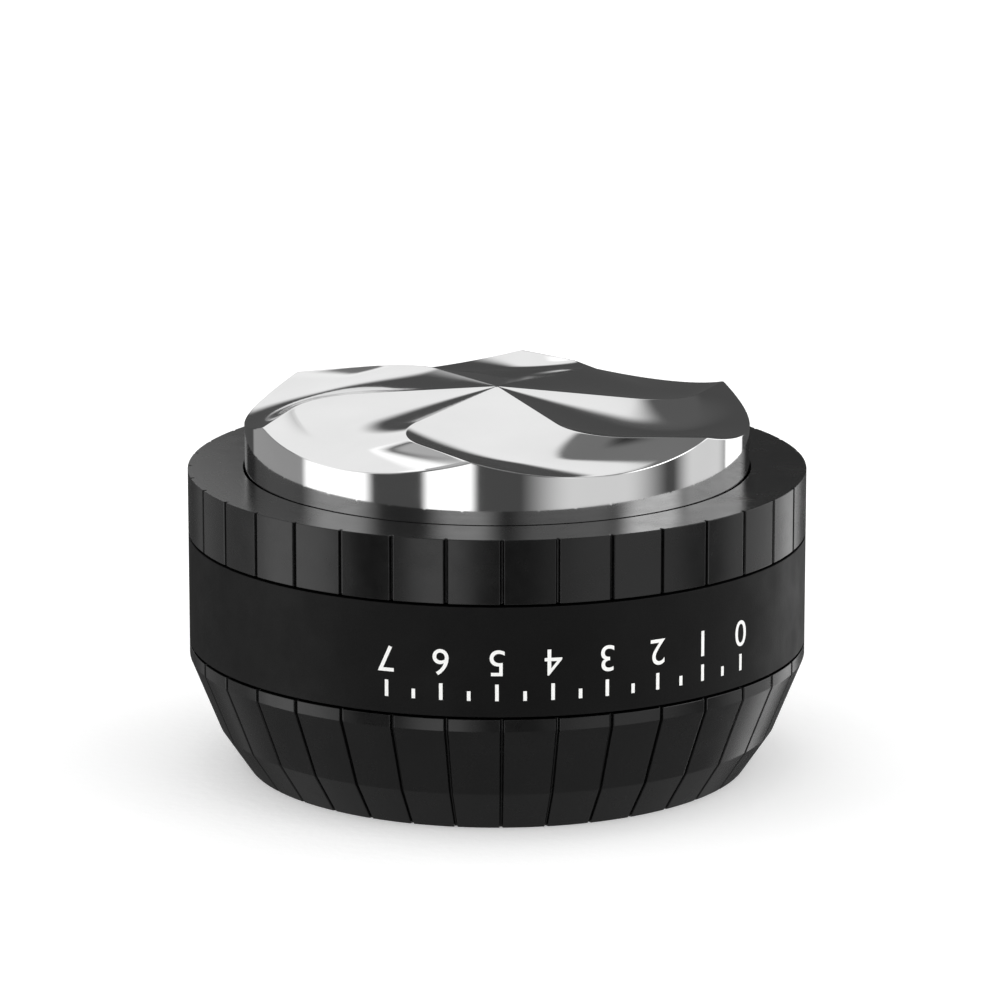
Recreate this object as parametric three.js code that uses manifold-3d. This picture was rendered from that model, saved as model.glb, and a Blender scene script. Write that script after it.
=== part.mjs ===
// A palm-held coffee distributor with a screw depth adjustment, standing on its palm face with its blades up.
// The palm cap and the sleeve (collar and band) both run on one threaded hub, and the cap jams against the band.
// Units are millimetres and +Z is up. The tool's axis is the Z axis, and z = 0 is the palm cap's flat face.
import * as THREE from "three";
import { mergeVertices } from "three/addons/utils/BufferGeometryUtils.js";
import Module from "manifold-3d";

const degrees = Math.PI / 180;

// ---- Clearances ----
const SEAM = 0.3; // left between faces that touch
const END_PLAY = 0.5; // left past a moving piece at the end of its travel

// ---- Steel base and its blades ----
const BASE_DIAMETER = 58.5; // a loose fit in a 58 mm filter basket
const BASE_STAND_OUT = 7.16; // from the collar's face to the blade tips
const BLADE_COUNT = 6;
const BLADE_RISE = 2.12; // from the blade tips to the centre
const BLADE_HOLLOW = 2.08; // how far the rim dips between two tips
const BLADE_TURN = 24.36 * degrees; // where the first tip points
const SPOKE_TRAIL = 29 * degrees; // how far the straight inner ridge trails its tip
const TIP_TRAIL = 45 * degrees; // between the outer ridge and the tip's radius
const RIDGE_BEND = 7.7; // radius of the bend between the two

// ---- Body: palm cap, band and collar, all of one diameter ----
const COLLAR_FACE_WIDTH = 6.3; // the ring that rests on the basket's rim
const COLLAR_HEIGHT = 7.38;
const BAND_HEIGHT = 12.6;
const CAP_LIP_HEIGHT = 1.4;
const UPPER_CHAMFER = { height: 8.24, width: 3.33 };
const LOWER_CHAMFER = { height: 4.87, width: 3.29 };
const CAP_FLOOR = 4.4; // metal between the palm face and the threaded bore
const COLLAR_WALL = 2.7; // the collar's inner sleeve, which carries the band
const BAND_FLANGE = 3.4; // the band's floor, which the band screws clamp

// ---- Grip grooves, alike on the cap and the collar ----
const GROOVE_COUNT = 36;
const GROOVE_WIDTH = 0.5;
const GROOVE_DEPTH = 0.45;
const GROOVE_TURN = 0.9 * degrees;

// ---- Depth thread on the hub ----
const TRAVEL_IN = 3; // how far the base goes in from the stored setting
const TRAVEL_OUT = 3; // and how far out
const PITCH = 2;
const THREAD_SHOULDER = 4.35; // from the base's edge in to the thread's crest
const THREAD_HEIGHT = 0.9;
const RIDGE_FOOT = 1.1;
const RIDGE_CREST = 0.4;
const FLANK_PLAY = 0.25; // along the axis, on each flank
const THREAD_STEPS = 32; // per turn

// ---- Base fasteners: socket screws with spring washers, and dowels ----
const SCREW_LAND = 12; // from the spigot to the thread's root, with the screws halfway
const HUB_SCREW = { count: 3, shank: 4, head: 7, headHeight: 4, socket: 3, grip: 6 };
const SPRING_WASHER = { thickness: 0.9, slit: 0.8 };
const DOWEL = { count: 2, diameter: 4, length: 10 };
const SPIGOT_HEIGHT = 3;

// ---- Band screws, lock washer and seal ring ----
const BAND_SCREW = { count: 4, shank: 2.5, head: 4.5, headHeight: 1.5, socket: 1.5, length: 6 };
const LOCK_WASHER = 1; // thickness
const CAP_WALL = 2.5; // between the cap's thread and the washer's recess
const CAP_LIP_WALL = 2.95; // between the recess and the cap's edge
const SEAL_SECTION = 1.4;
const SEAL_LAND = 1; // base metal above and below the seal's groove

// ---- Facets ----
const ROUND = 72;
const BLADE_STEPS = 10; // across one blade
const BLADE_RINGS = 16;
const SMALL_ROUND = 16;

// ---- Worked out from the values above ----
const baseRadius = BASE_DIAMETER / 2;
const boreRadius = baseRadius + SEAM;
const bodyRadius = boreRadius + COLLAR_FACE_WIDTH;
const capTop = LOWER_CHAMFER.height + UPPER_CHAMFER.height + CAP_LIP_HEIGHT;
const bandLow = capTop + SEAM;
const bandTop = bandLow + BAND_HEIGHT;
const collarLow = bandTop + SEAM;
const collarTop = collarLow + COLLAR_HEIGHT;
const tipHeight = collarTop + BASE_STAND_OUT;
const sealGrooveHeight = SEAL_SECTION + 2 * SEAM;
const baseLow = collarTop - TRAVEL_OUT - 2 * SEAL_LAND - sealGrooveHeight;
const sealLow = baseLow + SEAL_LAND;
const boreFloor = baseLow - TRAVEL_IN - END_PLAY;
const sleeveRadius = boreRadius + COLLAR_WALL;
const sleeveLow = bandLow + BAND_FLANGE + SEAM;
const crestRadius = baseRadius - THREAD_SHOULDER;
const rootRadius = crestRadius - THREAD_HEIGHT;
const tapRadius = crestRadius + SEAM;
const hubLow = CAP_FLOOR + TRAVEL_IN + END_PLAY + SEAM;
const hubTop = baseLow - SEAM;
const spigotRadius = rootRadius - SCREW_LAND;
const hubScrewCircle = rootRadius - SCREW_LAND / 2;
const bandScrewCircle = (tapRadius + sleeveRadius) / 2;

const wasm = await Module();
wasm.setup();

/** A closed three.js geometry as a manifold-3d solid. */
function solid(geometry) {
  const bare = geometry.index ? geometry.toNonIndexed() : geometry.clone();
  bare.deleteAttribute("normal");
  bare.deleteAttribute("uv");
  const merged = mergeVertices(bare, 1e-4);
  const index = merged.index.array;
  const corners = [];
  for (let i = 0; i < index.length; i += 3) {
    const [a, b, c] = index.subarray(i, i + 3);
    if (a !== b && b !== c && c !== a) corners.push(a, b, c);
  }
  const mesh = new wasm.Mesh({
    numProp: 3,
    vertProperties: merged.attributes.position.array,
    triVerts: new Uint32Array(corners),
  });
  return new wasm.Manifold(mesh);
}

/** A solid turned about Z from a profile of [radius, z] points, which runs anticlockwise. */
function turned(profile, steps = ROUND) {
  const points = profile.map(([radius, z]) => new THREE.Vector2(radius, z));
  return solid(new THREE.LatheGeometry(points, steps).rotateX(Math.PI / 2));
}

/** A ring of rectangular section. */
function ring(inner, outer, low, high, steps = ROUND) {
  return turned([[inner, low], [outer, low], [outer, high], [inner, high], [inner, low]], steps);
}

/** A round post along Z. */
function post(radius, low, high, x = 0, y = 0, steps = SMALL_ROUND) {
  const geometry = new THREE.CylinderGeometry(radius, radius, high - low, steps);
  geometry.rotateX(Math.PI / 2).translate(x, y, (low + high) / 2);
  return solid(geometry);
}

/** The points of a hole circle, as [x, y]. */
function holeCircle(count, radius, start = 0) {
  return Array.from({ length: count }, (_, i) => {
    const angle = start + (2 * Math.PI * i) / count;
    return [radius * Math.cos(angle), radius * Math.sin(angle)];
  });
}

/** The tool that cuts one grip groove: a thin plate on a half-plane of the axis, its outline in [radius, z]. */
function grooveCutter(outline, angle) {
  const shape = new THREE.Shape(outline.map(([radius, z]) => new THREE.Vector2(radius, z)));
  const plate = new THREE.ExtrudeGeometry(shape, { depth: GROOVE_WIDTH, bevelEnabled: false });
  plate.translate(0, 0, -GROOVE_WIDTH / 2).rotateX(Math.PI / 2).rotateZ(angle);
  return solid(plate);
}

/** A blank with the grip grooves cut along an edge profile of [radius, z] points. */
function grooved(blank, edge) {
  const beyond = bodyRadius + 1;
  const inner = edge.map(([radius, z]) => [radius - GROOVE_DEPTH, z]);
  const outline = [[beyond, edge.at(-1)[1]], ...inner.reverse(), [beyond, edge[0][1]]];
  let piece = blank;
  for (let i = 0; i < GROOVE_COUNT; i += 1) {
    const angle = GROOVE_TURN + (2 * Math.PI * i) / GROOVE_COUNT;
    piece = piece.subtract(grooveCutter(outline, angle));
  }
  return piece;
}

/** A right-hand threaded rod from low to high; play widens it into the tap that cuts the matching bore. */
function threadedRod(low, high, radialPlay = 0, flankPlay = 0) {
  const taper = (RIDGE_FOOT - RIDGE_CREST) / THREAD_HEIGHT;
  const foot = (RIDGE_FOOT - taper * radialPlay) / 2 + flankPlay;
  const crest = (RIDGE_CREST - taper * radialPlay) / 2 + flankPlay;
  const root = rootRadius + radialPlay;
  const tip = crestRadius + radialPlay;
  const section = [[root, -foot], [tip, -crest], [tip, crest], [root, foot]];
  const first = (Math.floor(low / PITCH) - 2) * THREAD_STEPS;
  const last = (Math.ceil(high / PITCH) + 2) * THREAD_STEPS;
  const positions = [];
  const corners = [];
  const corner = (step, k) => section.length * (step - first) + k;
  for (let step = first; step <= last; step += 1) {
    const angle = (2 * Math.PI * step) / THREAD_STEPS;
    for (const [radius, rise] of section) {
      const z = (PITCH * step) / THREAD_STEPS + rise;
      positions.push(radius * Math.cos(angle), radius * Math.sin(angle), z);
    }
  }
  const quad = (a, b, c, d) => corners.push(a, b, c, a, c, d);
  for (let step = first; step < last; step += 1) {
    for (let k = 0; k < 3; k += 1) {
      quad(corner(step, k), corner(step + 1, k), corner(step + 1, k + 1), corner(step, k + 1));
    }
    const next = step + THREAD_STEPS;
    if (next < last) quad(corner(step, 3), corner(step + 1, 3), corner(next + 1, 0), corner(next, 0));
  }
  // Each end is a fan from the axis to the thread's last turn.
  const lowLoop = [0, 1, 2, 3].map((k) => corner(first, k));
  const highLoop = [];
  for (let step = 0; step <= THREAD_STEPS; step += 1) {
    lowLoop.push(corner(first + THREAD_STEPS - step, 0));
    highLoop.push(corner(last - THREAD_STEPS + step, 3));
  }
  highLoop.push(corner(last, 2), corner(last, 1), corner(last, 0));
  const poles = positions.length / 3;
  positions.push(0, 0, (PITCH * first) / THREAD_STEPS - PITCH / 2);
  positions.push(0, 0, (PITCH * last) / THREAD_STEPS + PITCH / 2);
  [lowLoop, highLoop].forEach((loop, end) => {
    loop.forEach((a, i) => corners.push(a, loop[(i + 1) % loop.length], poles + end));
  });
  const geometry = new THREE.BufferGeometry();
  geometry.setAttribute("position", new THREE.Float32BufferAttribute(positions, 3));
  geometry.setIndex(corners);
  return solid(geometry).intersect(post(bodyRadius, low, high));
}

/** The tap that cuts the bore in which the hub's thread runs. */
function tap(low, high) {
  return threadedRod(low, high, SEAM, FLANK_PLAY);
}

/** How far a blade's ridge trails its tip at a radius, in radians: a straight run, a bend and a straight spoke. */
function ridgeTrail(radius) {
  const turn = SPOKE_TRAIL + TIP_TRAIL;
  const tangent = RIDGE_BEND * Math.tan(turn / 2);
  const spokeEnd = (baseRadius * Math.sin(TIP_TRAIL)) / Math.sin(turn) - tangent;
  const run = (baseRadius * Math.sin(SPOKE_TRAIL)) / Math.sin(turn) - tangent;
  const bendEnd = Math.sqrt(baseRadius ** 2 + run ** 2 - 2 * baseRadius * run * Math.cos(TIP_TRAIL));
  if (radius <= spokeEnd) return SPOKE_TRAIL;
  if (radius >= bendEnd) {
    const facing = (baseRadius * Math.sin(TIP_TRAIL)) / radius;
    return Math.asin(Math.min(1, facing)) - TIP_TRAIL;
  }
  const centre = Math.hypot(spokeEnd, RIDGE_BEND);
  const reach = (radius ** 2 + centre ** 2 - RIDGE_BEND ** 2) / (2 * radius * centre);
  return SPOKE_TRAIL - Math.atan2(RIDGE_BEND, spokeEnd) + Math.acos(reach);
}

/** The solid base: a hollow-ground face between each pair of ridges, over a plain round wall. */
function bladedDisc() {
  const around = BLADE_COUNT * BLADE_STEPS;
  const positions = [0, 0, tipHeight + BLADE_RISE];
  const corners = [];
  for (let i = 1; i <= BLADE_RINGS; i += 1) {
    const share = i / BLADE_RINGS;
    const radius = baseRadius * share;
    for (let j = 0; j < around; j += 1) {
      const across = (j % BLADE_STEPS) / BLADE_STEPS;
      const angle = BLADE_TURN - ridgeTrail(radius) + (2 * Math.PI * j) / around;
      const ridge = tipHeight + BLADE_RISE * (1 - share);
      const hollow = BLADE_HOLLOW * share * 4 * across * (1 - across);
      positions.push(radius * Math.cos(angle), radius * Math.sin(angle), ridge - hollow);
    }
  }
  const rim = positions.length - 3 * around;
  for (let j = 0; j < around; j += 1) {
    positions.push(positions[rim + 3 * j], positions[rim + 3 * j + 1], baseLow);
  }
  positions.push(0, 0, baseLow);
  const floor = positions.length / 3 - 1;
  for (let j = 0; j < around; j += 1) {
    const next = (j + 1) % around;
    corners.push(0, 1 + j, 1 + next);
    for (let i = 0; i < BLADE_RINGS; i += 1) {
      const inner = 1 + i * around;
      const outer = inner + around;
      corners.push(inner + j, outer + j, outer + next, inner + j, outer + next, inner + next);
    }
    corners.push(floor, floor - around + next, floor - around + j);
  }
  const geometry = new THREE.BufferGeometry();
  geometry.setAttribute("position", new THREE.Float32BufferAttribute(positions, 3));
  geometry.setIndex(corners);
  return solid(geometry);
}

/** A socket screw standing on its head's top at z = low, its shank pointing up. */
function socketScrew({ shank, head, headHeight, socket }, low, high, x, y) {
  const edge = 0.3;
  const underHead = low + headHeight;
  const profile = [
    [0, low],
    [head / 2 - edge, low],
    [head / 2, low + edge],
    [head / 2, underHead],
    [shank / 2, underHead],
    [shank / 2, high - edge],
    [shank / 2 - edge, high],
    [0, high],
  ];
  const key = new THREE.CylinderGeometry(socket / Math.sqrt(3), socket / Math.sqrt(3), headHeight, 6);
  key.rotateX(Math.PI / 2).translate(0, 0, low);
  const screw = turned(profile, SMALL_ROUND).subtract(solid(key));
  return screw.translate([x, y, 0]);
}

// ---- Pieces ----

function palmCap() {
  const shoulder = bodyRadius - UPPER_CHAMFER.width;
  const recessFloor = capTop - LOCK_WASHER - SEAM;
  const recess = ring(tapRadius + CAP_WALL, bodyRadius - CAP_LIP_WALL, recessFloor, capTop + 1);
  const edge = [
    [shoulder - LOWER_CHAMFER.width, 0],
    [shoulder, LOWER_CHAMFER.height],
    [bodyRadius, LOWER_CHAMFER.height + UPPER_CHAMFER.height],
    [bodyRadius, capTop],
  ];
  const blank = turned([[0, 0], ...edge, [0, capTop]]);
  return grooved(blank, edge).subtract(recess).subtract(tap(CAP_FLOOR, capTop + PITCH));
}

function lockWasher() {
  const inner = tapRadius + CAP_WALL + SEAM;
  const outer = bodyRadius - CAP_LIP_WALL - SEAM;
  return ring(inner, outer, capTop - LOCK_WASHER, capTop, ROUND / 2);
}

const bandScrewPlaces = holeCircle(BAND_SCREW.count, bandScrewCircle, Math.PI / 4);
const bandScrewLow = bandLow + SEAM / 2;
const bandScrewHigh = bandScrewLow + BAND_SCREW.headHeight + BAND_SCREW.length;

/** The holes for the band screws: a counterbore for each head and a bore for each shank. */
function bandScrewHoles(piece) {
  const headFloor = bandScrewLow + BAND_SCREW.headHeight + SEAM;
  let drilled = piece;
  for (const [x, y] of bandScrewPlaces) {
    drilled = drilled.subtract(post(BAND_SCREW.head / 2 + SEAM, bandLow - 1, headFloor, x, y));
    drilled = drilled.subtract(post(BAND_SCREW.shank / 2 + SEAM, bandLow, bandScrewHigh + SEAM, x, y));
  }
  return drilled;
}

function gripBand() {
  const inner = sleeveRadius + SEAM;
  const throat = tapRadius + SEAM;
  const profile = [
    [throat, bandLow],
    [bodyRadius, bandLow],
    [bodyRadius, bandTop],
    [inner, bandTop],
    [inner, bandLow + BAND_FLANGE],
    [throat, bandLow + BAND_FLANGE],
    [throat, bandLow],
  ];
  return bandScrewHoles(turned(profile));
}

function depthCollar() {
  const blank = turned([
    [0, sleeveLow],
    [sleeveRadius, sleeveLow],
    [sleeveRadius, collarLow],
    [bodyRadius, collarLow],
    [bodyRadius, collarTop],
    [boreRadius, collarTop],
    [boreRadius, boreFloor],
    [0, boreFloor],
  ]);
  const edge = [[bodyRadius, collarLow], [bodyRadius, collarTop]];
  return bandScrewHoles(grooved(blank, edge).subtract(tap(sleeveLow - PITCH, boreFloor + PITCH)));
}

const headFloor = hubLow + SEAM + HUB_SCREW.headHeight + SPRING_WASHER.thickness + 2 * SEAM;
const hubScrewHigh = baseLow + HUB_SCREW.grip;
const hubScrewPlaces = holeCircle(HUB_SCREW.count, hubScrewCircle);
const dowelPlaces = holeCircle(DOWEL.count, hubScrewCircle, Math.PI / 2);

/** The screw and dowel holes that the hub and the base share. */
function baseFastenerHoles(piece) {
  const dowelMiddle = (hubTop + baseLow) / 2;
  const dowelReach = DOWEL.length / 2 + SEAM;
  const dowelRadius = DOWEL.diameter / 2 + SEAM;
  let drilled = piece;
  for (const [x, y] of hubScrewPlaces) {
    drilled = drilled.subtract(post(HUB_SCREW.head / 2 + SEAM, hubLow - 1, headFloor, x, y));
    drilled = drilled.subtract(post(HUB_SCREW.shank / 2 + SEAM, hubLow, hubScrewHigh + END_PLAY, x, y));
  }
  for (const [x, y] of dowelPlaces) {
    drilled = drilled.subtract(post(dowelRadius, dowelMiddle - dowelReach, dowelMiddle + dowelReach, x, y));
  }
  return drilled;
}

function threadedHub() {
  const spigot = post(spigotRadius, hubTop - 1, hubTop + SPIGOT_HEIGHT, 0, 0, ROUND / 2);
  return baseFastenerHoles(threadedRod(hubLow, hubTop).add(spigot));
}

function finBase() {
  const recess = post(spigotRadius + SEAM, baseLow - 1, baseLow + SPIGOT_HEIGHT, 0, 0, ROUND / 2);
  const sealFloor = baseRadius - SEAL_SECTION - SEAM;
  const sealGroove = ring(sealFloor, baseRadius + 1, sealLow, sealLow + sealGrooveHeight);
  return baseFastenerHoles(bladedDisc().subtract(sealGroove).subtract(recess));
}

function sealRing() {
  const radius = SEAL_SECTION / 2;
  const centre = baseRadius - radius;
  const height = sealLow + sealGrooveHeight / 2;
  const geometry = new THREE.TorusGeometry(centre, radius, 8, ROUND / 2);
  return solid(geometry.translate(0, 0, height));
}

function springWasher(x, y) {
  const low = headFloor - SEAM - SPRING_WASHER.thickness;
  const inner = HUB_SCREW.shank / 2 + SEAM;
  const washer = ring(inner, HUB_SCREW.head / 2, low, headFloor - SEAM, SMALL_ROUND);
  const slit = new THREE.BoxGeometry(HUB_SCREW.head, SPRING_WASHER.slit, 4 * SPRING_WASHER.thickness);
  slit.translate(HUB_SCREW.head / 2, 0, low);
  return washer.subtract(solid(slit)).translate([x, y, 0]);
}

function dowelPin(x, y) {
  const middle = (hubTop + baseLow) / 2;
  const radius = DOWEL.diameter / 2;
  const reach = DOWEL.length / 2;
  const edge = 0.4;
  const profile = [
    [0, -reach],
    [radius - edge, -reach],
    [radius, edge - reach],
    [radius, reach - edge],
    [radius - edge, reach],
    [0, reach],
  ];
  return turned(profile, SMALL_ROUND).translate([x, y, middle]);
}

// ---- Assembly ----

const blackAnodised = new THREE.MeshStandardMaterial({ color: 0x2a2b2d, roughness: 0.42, metalness: 0.7 });
const matteBlack = new THREE.MeshStandardMaterial({ color: 0x222324, roughness: 0.6, metalness: 0.3 });
const machinedAlloy = new THREE.MeshStandardMaterial({ color: 0xb4b7ba, roughness: 0.35, metalness: 1 });
const polishedSteel = new THREE.MeshStandardMaterial({ color: 0xd0d1d2, roughness: 0.12, metalness: 1 });
const screwSteel = new THREE.MeshStandardMaterial({ color: 0x8f9194, roughness: 0.3, metalness: 1 });
const nylon = new THREE.MeshStandardMaterial({ color: 0xe8e6dd, roughness: 0.5, metalness: 0 });
const blackRubber = new THREE.MeshStandardMaterial({ color: 0x161616, roughness: 0.8, metalness: 0 });

/** A named mesh of one solid. */
function piece(name, made, material) {
  const { vertProperties, triVerts } = made.getMesh();
  const geometry = new THREE.BufferGeometry();
  geometry.setAttribute("position", new THREE.BufferAttribute(new Float32Array(vertProperties), 3));
  geometry.setIndex(new THREE.BufferAttribute(new Uint32Array(triVerts), 1));
  geometry.computeVertexNormals();
  const mesh = new THREE.Mesh(geometry, material);
  mesh.name = name;
  return mesh;
}

const housing = new THREE.Group();
housing.add(piece("palm_cap", palmCap(), blackAnodised));
housing.add(piece("lock_washer", lockWasher(), nylon));

const sleeve = new THREE.Group();
sleeve.add(piece("grip_band", gripBand(), matteBlack));
sleeve.add(piece("depth_collar", depthCollar(), blackAnodised));
bandScrewPlaces.forEach(([x, y], i) => {
  const screw = socketScrew(BAND_SCREW, bandScrewLow, bandScrewHigh, x, y);
  sleeve.add(piece(`band_screw_${i + 1}`, screw, screwSteel));
});

const core = new THREE.Group();
core.add(piece("fin_base", finBase(), polishedSteel));
core.add(piece("seal_ring", sealRing(), blackRubber));
core.add(piece("threaded_hub", threadedHub(), machinedAlloy));
hubScrewPlaces.forEach(([x, y], i) => {
  const screw = socketScrew(HUB_SCREW, hubLow + SEAM, hubScrewHigh, x, y);
  core.add(piece(`hub_screw_${i + 1}`, screw, screwSteel));
  core.add(piece(`spring_washer_${i + 1}`, springWasher(x, y), screwSteel));
});
dowelPlaces.forEach(([x, y], i) => {
  core.add(piece(`dowel_pin_${i + 1}`, dowelPin(x, y), screwSteel));
});

const distributor = new THREE.Group();
distributor.add(housing, sleeve, core);
export default distributor;
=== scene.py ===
"""A palm-held coffee distributor, finished around its CAD frame.

The tool stands on its palm cap with its blades up. Each piece is a bmesh built from the frame's boxes and a
few sizes, and each finish is a node material. It is laid out as an add-on and run as a script.
"""

import math

import bmesh
import bpy
from bpy.props import FloatProperty, FloatVectorProperty, IntProperty, PointerProperty
from mathutils import Matrix, Vector


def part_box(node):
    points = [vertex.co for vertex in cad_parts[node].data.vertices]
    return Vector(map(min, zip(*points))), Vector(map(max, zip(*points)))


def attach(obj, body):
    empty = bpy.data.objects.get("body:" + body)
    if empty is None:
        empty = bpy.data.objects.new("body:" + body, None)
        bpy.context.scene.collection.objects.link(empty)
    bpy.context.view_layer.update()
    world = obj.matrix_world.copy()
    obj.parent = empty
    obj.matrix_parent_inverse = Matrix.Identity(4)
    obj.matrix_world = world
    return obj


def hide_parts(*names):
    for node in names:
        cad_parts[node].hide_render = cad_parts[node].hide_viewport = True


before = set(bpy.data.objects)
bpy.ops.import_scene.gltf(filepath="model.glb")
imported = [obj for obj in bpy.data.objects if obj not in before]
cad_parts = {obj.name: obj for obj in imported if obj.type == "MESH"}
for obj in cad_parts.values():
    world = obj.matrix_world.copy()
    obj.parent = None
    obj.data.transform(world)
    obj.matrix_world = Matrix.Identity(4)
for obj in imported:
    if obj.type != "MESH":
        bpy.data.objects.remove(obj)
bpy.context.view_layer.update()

bl_info = {
    "name": "Coffee Distributor",
    "version": (1, 0, 0),
    "blender": (4, 5, 0),
    "location": "View3D > Sidebar > Distributor",
    "description": "Builds the pieces, finishes and studio of a palm-held coffee distributor",
    "category": "Add Mesh",
}

MM = 0.001
Z_AXIS = Vector((0, 0, 1))
MATH = "ShaderNodeMath"
FULL_TURN = 2 * math.pi

# ---- Sizes of the fit between the pieces, in metres ----
SEAM = 0.3 * MM
TRAVEL = 3.0 * MM
END_PLAY = 0.5 * MM
COLLAR_WALL = 2.7 * MM
BAND_FLANGE = 3.4 * MM
CAP_FLOOR = 4.4 * MM
CAP_WALL = 2.5 * MM
SEAL_LAND = 1.0 * MM
SEAL_GROOVE = 2.0 * MM
SEAL_DEPTH = 1.7 * MM
SPIGOT_RADIUS = 12.3 * MM
SPIGOT_DEPTH = 3.0 * MM
GAP = 0.6 * SEAM  # between the base's wall and the collar's bore
PLAIN_RING = 0.5 * MM  # left between the grip grooves' floors and the next edge
FACE_RING = 0.8 * MM  # the same on the palm face

# ---- Steps and tolerances ----
LAND_STEPS = 6  # between two grip grooves
BAND_STEPS = 288  # around the band
SHARP = math.radians(20)
CREASE = math.radians(8)
MERGE = 0.0005 * MM
NEAR = 0.001 * MM
SORT_SPAN = 2**17


def linear(code):
    """The linear colour of an sRGB hex code."""
    values = [int(code[i : i + 2], 16) / 255 for i in (1, 3, 5)]
    return (*(v / 12.92 if v <= 0.04045 else ((v + 0.055) / 1.055) ** 2.4 for v in values), 1.0)


def node_radius(node):
    """The outer radius of a CAD node that is round about the Z axis."""
    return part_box(node)[1].x


# ---- What a user would change ----


class BladeSettings(bpy.types.PropertyGroup):
    """Sizes of the bladed base."""

    count: IntProperty(name="Blades", description="Blades on the base", default=6, min=3, max=9)
    turn: FloatProperty(
        name="Turn", description="Where the first blade tip points", default=math.radians(24.36), subtype="ANGLE"
    )
    rise: FloatProperty(
        name="Rise", description="From the blade tips up to the centre", default=2.12 * MM, unit="LENGTH"
    )
    hollow: FloatProperty(
        name="Hollow", description="How far the rim dips between two tips", default=2.08 * MM, unit="LENGTH"
    )
    spoke_trail: FloatProperty(
        name="Spoke trail",
        description="How far the straight inner ridge trails its tip",
        default=math.radians(29),
        subtype="ANGLE",
    )
    tip_trail: FloatProperty(
        name="Tip trail",
        description="Between the outer ridge and the tip's radius",
        default=math.radians(45),
        subtype="ANGLE",
    )
    bend: FloatProperty(
        name="Bend", description="Radius of the ridge's bend", default=7.7 * MM, unit="LENGTH"
    )
    ridge: FloatProperty(
        name="Ridge", description="Width of the polished-over ridge", default=0.22 * MM, unit="LENGTH"
    )
    rim_break: FloatProperty(
        name="Rim break", description="Width of the broken edge at the rim", default=0.13 * MM, unit="LENGTH"
    )


class BodySettings(bpy.types.PropertyGroup):
    """Sizes of the cap, band and collar."""

    groove_count: IntProperty(name="Grooves", description="Grip grooves around", default=36, min=12, max=72)
    groove_width: FloatProperty(
        name="Groove width", description="Width of a grip groove", default=0.5 * MM, unit="LENGTH"
    )
    groove_floor: FloatProperty(
        name="Groove floor", description="Width of a grip groove's floor", default=0.15 * MM, unit="LENGTH"
    )
    groove_depth: FloatProperty(
        name="Groove depth", description="Depth of a grip groove", default=0.45 * MM, unit="LENGTH"
    )
    groove_turn: FloatProperty(
        name="Groove turn", description="Where the first groove points", default=math.radians(0.9), subtype="ANGLE"
    )
    edge_break: FloatProperty(
        name="Edge break", description="Width of a broken edge", default=0.07 * MM, unit="LENGTH"
    )
    lower_height: FloatProperty(
        name="Lower chamfer height", description="Height of the palm side chamfer", default=4.87 * MM, unit="LENGTH"
    )
    lower_width: FloatProperty(
        name="Lower chamfer width", description="Width of the palm side chamfer", default=3.29 * MM, unit="LENGTH"
    )
    upper_height: FloatProperty(
        name="Upper chamfer height", description="Height of the upper chamfer", default=8.24 * MM, unit="LENGTH"
    )
    upper_width: FloatProperty(
        name="Upper chamfer width", description="Width of the upper chamfer", default=3.33 * MM, unit="LENGTH"
    )


class FinishSettings(bpy.types.PropertyGroup):
    """Colours of the finishes."""

    steel: FloatVectorProperty(
        name="Steel", description="Polished stainless steel", subtype="COLOR", size=4, default=linear("#DCDCDC")
    )
    anodised: FloatVectorProperty(
        name="Anodised", description="Satin black anodised alloy", subtype="COLOR", size=4, default=linear("#0A0A0A")
    )
    blasted: FloatVectorProperty(
        name="Blasted", description="Blasted black anodised alloy", subtype="COLOR", size=4, default=linear("#070707")
    )
    ink: FloatVectorProperty(
        name="Ink", description="White printing ink", subtype="COLOR", size=4, default=linear("#F4F4F2")
    )
    alloy: FloatVectorProperty(
        name="Alloy", description="Machined alloy of the hub", subtype="COLOR", size=4, default=linear("#D9DADB")
    )
    fastener: FloatVectorProperty(
        name="Fasteners", description="Plain stainless fasteners", subtype="COLOR", size=4, default=linear("#B9BABB")
    )
    nylon: FloatVectorProperty(
        name="Nylon", description="Natural nylon washer", subtype="COLOR", size=4, default=linear("#E6E3D8")
    )
    rubber: FloatVectorProperty(
        name="Rubber", description="Black rubber ring", subtype="COLOR", size=4, default=linear("#161616")
    )


class ScaleSettings(bpy.types.PropertyGroup):
    """The printed scale on the band, which the cap's grooves are counted along."""

    count: IntProperty(name="Numbers", description="Numbered marks", default=8, min=2, max=10)
    first: FloatProperty(
        name="First mark", description="Where the 0 stands, from the front", default=math.radians(50), subtype="ANGLE"
    )
    pitch: FloatProperty(
        name="Pitch", description="Between two numbered marks", default=math.radians(10), subtype="ANGLE"
    )
    height: FloatProperty(name="Digit height", description="Height of a digit", default=3.0 * MM, unit="LENGTH")
    line: FloatProperty(name="Line", description="Width of a mark", default=0.4 * MM, unit="LENGTH")
    lift: FloatProperty(
        name="Lift", description="From the band's cap side up to the marks", default=1.9 * MM, unit="LENGTH"
    )


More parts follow.
